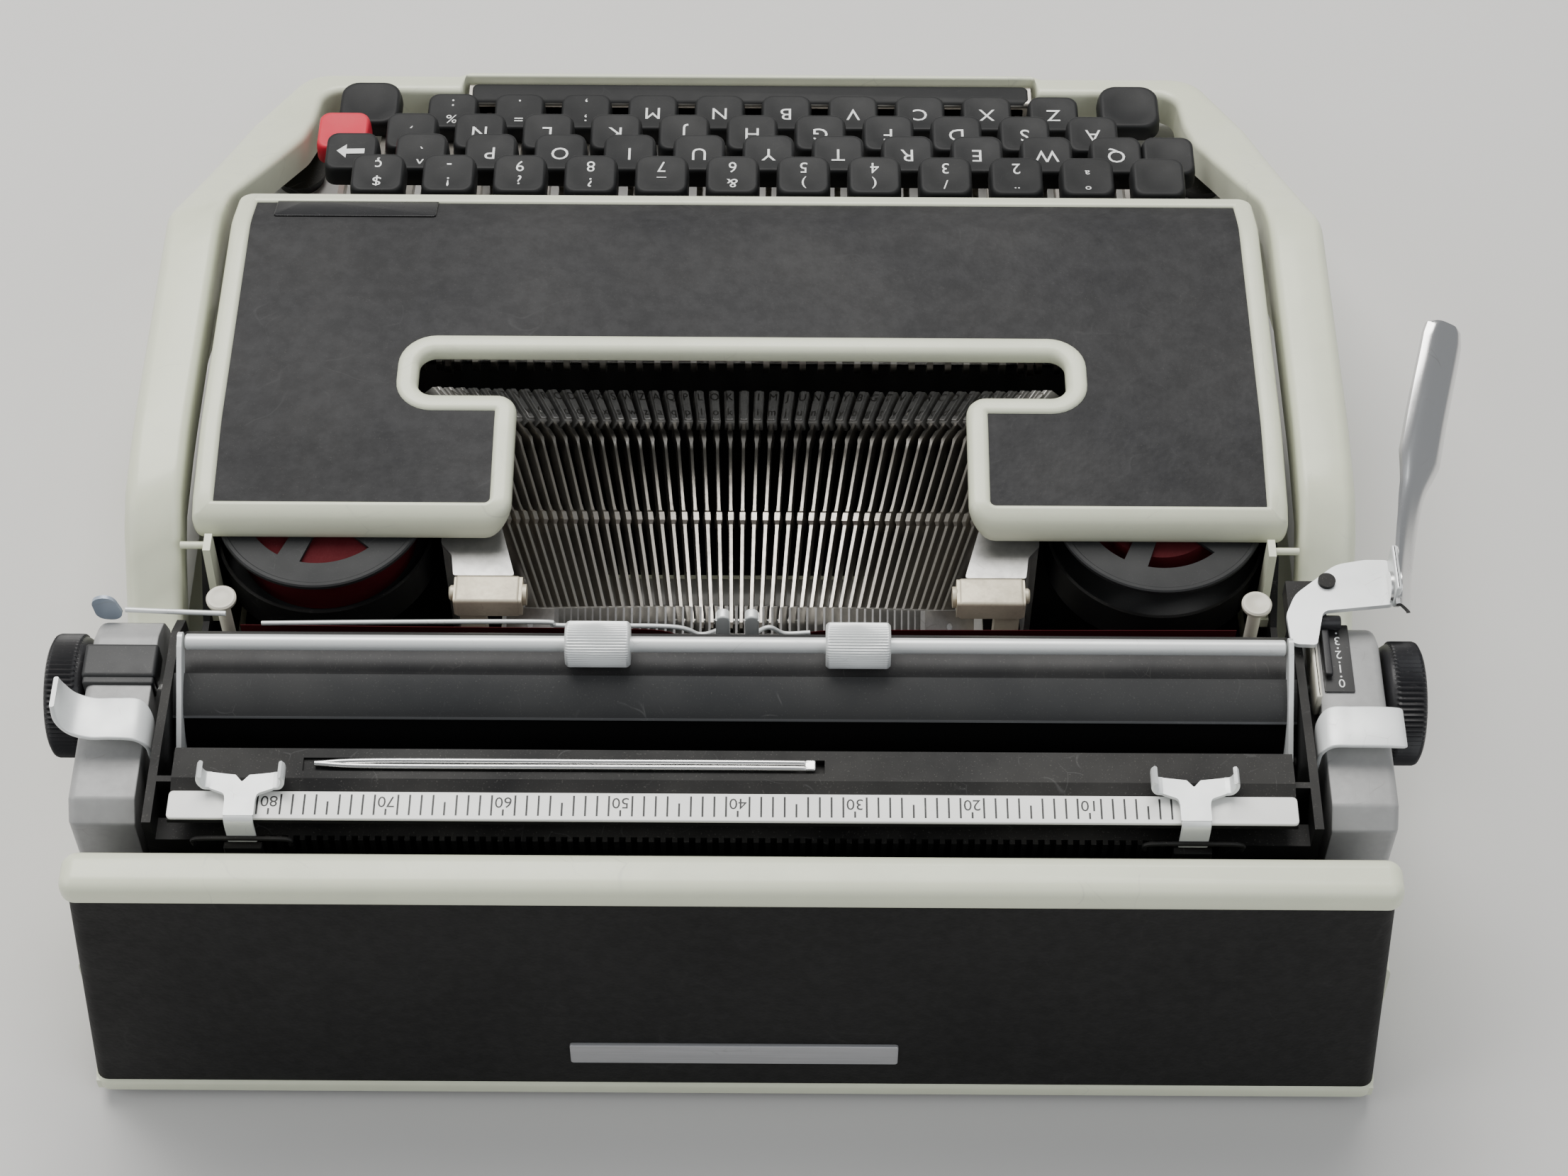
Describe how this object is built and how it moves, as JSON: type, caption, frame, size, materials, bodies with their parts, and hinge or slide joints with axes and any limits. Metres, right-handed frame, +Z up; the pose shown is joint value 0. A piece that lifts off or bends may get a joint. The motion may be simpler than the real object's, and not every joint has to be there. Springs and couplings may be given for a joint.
{
  "type": "typewriter",
  "caption": "Flat portable manual typewriter with a sliding carriage, hinged ribbon cover, moving keys and a working centre type bar.",
  "frame": {"origin": "on the surface the feet stand on, under the middle of the whole machine with its return lever and knobs", "axes": "+Z up, +X to the typist's right along the carriage, -Y towards the typist (keyboard), +Y the rear"},
  "size_m": [0.325, 0.3202, 0.1115],
  "materials": {
    "casing_paint": "satin light grey enamel",
    "black_leatherette": "fine grain, matt",
    "key_plastic": "satin charcoal",
    "red_plastic": "satin red",
    "spool_plastic": "satin dark grey",
    "black_steel": "black enamel",
    "bright_steel": "bright plated steel",
    "brushed_steel": "brushed steel",
    "type_metal": "dark worn type steel",
    "brass_fitting": "dull brass",
    "platen_rubber": "matt black rubber",
    "feed_rubber": "matt rubber",
    "knob_plastic": "ribbed black",
    "scale_enamel": "white enamel with black ticks",
    "plate_aluminium": "plain brushed plate",
    "cream_plastic": "cream",
    "ribbon_fabric": "inked dark red ribbon"
  },
  "bodies": {
    "chassis": {"body_shell": "casing_paint", "bottom_plate": "casing_paint", "rear_panel": "black_leatherette", "rear_cap": "casing_paint", "rear_plate": "plate_aluminium", "rubber_feet": "feed_rubber", "side_frames": "black_steel", "tie_rods": "bright_steel", "carriage_rail": "black_steel", "type_guide": "bright_steel", "basket_brackets": "brushed_steel", "pivot_blocks": "brass_fitting", "spool_cups": "black_steel", "ribbon_posts": "cream_plastic", "ribbon": "ribbon_fabric", "hinge_pins": "black_steel"},
    "ribbon_cover": {"cover_frame": "casing_paint", "cover_inset": "black_leatherette", "badge_plate": "plate_aluminium"},
    "type_basket": {"segment": "brushed_steel", "fulcrum_wire": "bright_steel", "type_bars": "brushed_steel", "type_slugs": "type_metal"},
    "striking_bar": {"striking_type_bar": "brushed_steel"},
    "carriage": {"carriage_frame": "black_steel", "end_cover_right": "casing_paint", "end_cover_left": "casing_paint", "paper_table": "black_steel", "paper_deflector": "black_steel", "margin_scale": "scale_enamel", "margin_rail": "black_steel"},
    "platen_roll": {"platen": "platen_rubber", "platen_shaft": "bright_steel", "platen_knobs": "knob_plastic", "ratchet_wheel": "brushed_steel"},
    "feed_shaft": {"feed_rollers": "feed_rubber"},
    "paper_bail": {"bail_frame": "bright_steel"},
    "bail_roller_pair": {"bail_rollers": "bright_steel"},
    "line_space_lever": {"return_lever": "bright_steel", "lever_bracket": "casing_paint"},
    "line_space_setting": {"line_space_selector": "black_steel"},
    "paper_release": {"paper_release_lever": "bright_steel"},
    "carriage_release": {"carriage_release_lever": "bright_steel"},
    "right_margin": {"margin_stop_right": "bright_steel"},
    "left_margin": {"margin_stop_left": "bright_steel"},
    "paper_support_arm": {"paper_support": "bright_steel"},
    "mainspring": {"mainspring_drum": "black_steel"},
    "right_spool": {"spool_right": "spool_plastic", "ribbon_pack_right": "ribbon_fabric"},
    "left_spool": {"spool_left": "spool_plastic", "ribbon_pack_left": "ribbon_fabric"},
    "number_row": {"number_row_keys": "key_plastic"},
    "upper_row": {"upper_row_keys": "key_plastic"},
    "home_row": {"home_row_keys": "key_plastic"},
    "lower_row": {"lower_row_keys": "key_plastic"},
    "centre_key": {"striking_key": "key_plastic"},
    "tabulator": {"tab_key": "red_plastic"},
    "backspace": {"backspace_key": "key_plastic"},
    "shift_pair": {"shift_keys": "key_plastic"},
    "space_lever": {"space_bar": "key_plastic"}
  },
  "joints": [
    {"name": "cover_hinge", "type": "hinge", "parent": "chassis", "child": "ribbon_cover", "pos_m": [0.00605, 0.043, 0.059], "axis": [-1, 0, 0], "range_deg": [0, 35]},
    {"name": "carriage_travel", "type": "slide", "parent": "chassis", "child": "carriage", "axis": [1, 0, 0], "range_m": [-0.105, 0.105]},
    {"name": "mainspring_turn", "type": "hinge", "parent": "chassis", "child": "mainspring", "pos_m": [0.09805, 0.088, 0.02], "axis": [0, 0, 1], "range_deg": [-335, 335]},
    {"name": "platen_turn", "type": "hinge", "parent": "carriage", "child": "platen_roll", "pos_m": [0.00605, 0.093, 0.068], "axis": [1, 0, 0], "continuous": true},
    {"name": "feed_roller_turn", "type": "hinge", "parent": "carriage", "child": "feed_shaft", "pos_m": [0.00605, 0.093, 0.0477], "axis": [1, 0, 0], "continuous": true},
    {"name": "bail_swing", "type": "hinge", "parent": "carriage", "child": "paper_bail", "pos_m": [0.00605, 0.112, 0.072], "axis": [-1, 0, 0], "range_deg": [0, 50]},
    {"name": "bail_roller_turn", "type": "hinge", "parent": "paper_bail", "child": "bail_roller_pair", "pos_m": [0.00605, 0.0924, 0.089], "axis": [1, 0, 0], "continuous": true},
    {"name": "return_lever_swing", "type": "hinge", "parent": "carriage", "child": "line_space_lever", "pos_m": [-0.12845, 0.073, 0.086], "axis": [0, 0, 1], "range_deg": [0, 25], "stiffness_Nm_per_rad": 0.1, "springref_deg": -11.46},
    {"name": "line_space_slide", "type": "slide", "parent": "carriage", "child": "line_space_setting", "axis": [0, 1, 0], "range_m": [0, 0.01]},
    {"name": "paper_release_lift", "type": "hinge", "parent": "carriage", "child": "paper_release", "pos_m": [0.13535, 0.1155, 0.077], "axis": [-1, 0, 0], "range_deg": [0, 20]},
    {"name": "carriage_release_lift", "type": "hinge", "parent": "carriage", "child": "carriage_release", "pos_m": [-0.12325, 0.1145, 0.077], "axis": [-1, 0, 0], "range_deg": [0, 12]},
    {"name": "right_margin_slide", "type": "slide", "parent": "carriage", "child": "right_margin", "axis": [1, 0, 0], "range_m": [-0.08, 0.008]},
    {"name": "left_margin_slide", "type": "slide", "parent": "carriage", "child": "left_margin", "axis": [1, 0, 0], "range_m": [-0.014, 0.08]},
    {"name": "paper_support_raise", "type": "hinge", "parent": "carriage", "child": "paper_support_arm", "pos_m": [-0.0107, 0.1241, 0.0882], "axis": [0, -1, 0], "range_deg": [0, 80]},
    {"name": "right_spool_turn", "type": "hinge", "parent": "chassis", "child": "right_spool", "pos_m": [0.10855, 0.027, 0.048], "axis": [0, 0, 1], "continuous": true},
    {"name": "left_spool_turn", "type": "hinge", "parent": "chassis", "child": "left_spool", "pos_m": [-0.09645, 0.027, 0.048], "axis": [0, 0, 1], "continuous": true},
    {"name": "basket_shift", "type": "slide", "parent": "chassis", "child": "type_basket", "axis": [0, 0, -1], "range_m": [0, 0.005], "stiffness_N_per_m": 900, "springref_m": -0.006},
    {"name": "type_bar_swing", "type": "hinge", "parent": "type_basket", "child": "striking_bar", "pos_m": [0.00605, 0.037, 0.02], "axis": [-1, 0, 0], "range_deg": [0, 113.5]},
    {"name": "number_row_press", "type": "hinge", "parent": "chassis", "child": "number_row", "pos_m": [0.00605, -0.038, 0.034], "axis": [1, 0, 0], "range_deg": [0, 9.08], "stiffness_Nm_per_rad": 1, "springref_deg": -11.46},
    {"name": "upper_row_press", "type": "hinge", "parent": "chassis", "child": "upper_row", "pos_m": [0.00605, -0.038, 0.034], "axis": [1, 0, 0], "range_deg": [0, 6.79], "stiffness_Nm_per_rad": 1, "springref_deg": -11.46},
    {"name": "home_row_press", "type": "hinge", "parent": "chassis", "child": "home_row", "pos_m": [0.00605, -0.038, 0.034], "axis": [1, 0, 0], "range_deg": [0, 5.42], "stiffness_Nm_per_rad": 1, "springref_deg": -11.46},
    {"name": "lower_row_press", "type": "hinge", "parent": "chassis", "child": "lower_row", "pos_m": [0.00605, -0.038, 0.034], "axis": [1, 0, 0], "range_deg": [0, 4.52], "stiffness_Nm_per_rad": 1, "springref_deg": -11.46},
    {"name": "centre_key_press", "type": "hinge", "parent": "chassis", "child": "centre_key", "pos_m": [0.00605, -0.038, 0.034], "axis": [1, 0, 0], "range_deg": [0, 5.42], "stiffness_Nm_per_rad": 0.15, "springref_deg": -11.46},
    {"name": "tabulator_press", "type": "hinge", "parent": "chassis", "child": "tabulator", "pos_m": [0.00605, -0.038, 0.034], "axis": [1, 0, 0], "range_deg": [0, 5.42], "stiffness_Nm_per_rad": 0.15, "springref_deg": -11.46},
    {"name": "backspace_press", "type": "hinge", "parent": "chassis", "child": "backspace", "pos_m": [0.00605, -0.038, 0.034], "axis": [1, 0, 0], "range_deg": [0, 6.79], "stiffness_Nm_per_rad": 0.15, "springref_deg": -11.46},
    {"name": "shift_press", "type": "hinge", "parent": "chassis", "child": "shift_pair", "pos_m": [0.00605, -0.038, 0.034], "axis": [1, 0, 0], "range_deg": [0, 3.92], "stiffness_Nm_per_rad": 0.15, "springref_deg": -11.46},
    {"name": "space_bar_press", "type": "hinge", "parent": "chassis", "child": "space_lever", "pos_m": [0.00605, -0.038, 0.034], "axis": [1, 0, 0], "range_deg": [0, 2.2], "stiffness_Nm_per_rad": 0.4, "springref_deg": -11.46}
  ],
  "couplings": [
    {"joint": "mainspring_turn", "follows": "carriage_travel", "rad_per_m": 55.556},
    {"joint": "feed_roller_turn", "follows": "platen_turn", "ratio": -3},
    {"joint": "bail_roller_turn", "follows": "platen_turn", "ratio": -2.8846},
    {"joint": "left_spool_turn", "follows": "right_spool_turn", "ratio": 1.4667},
    {"joint": "shift_press", "follows": "basket_shift", "rad_per_m": 13.683},
    {"joint": "centre_key_press", "follows": "type_bar_swing", "ratio": 0.04775}
  ]
}
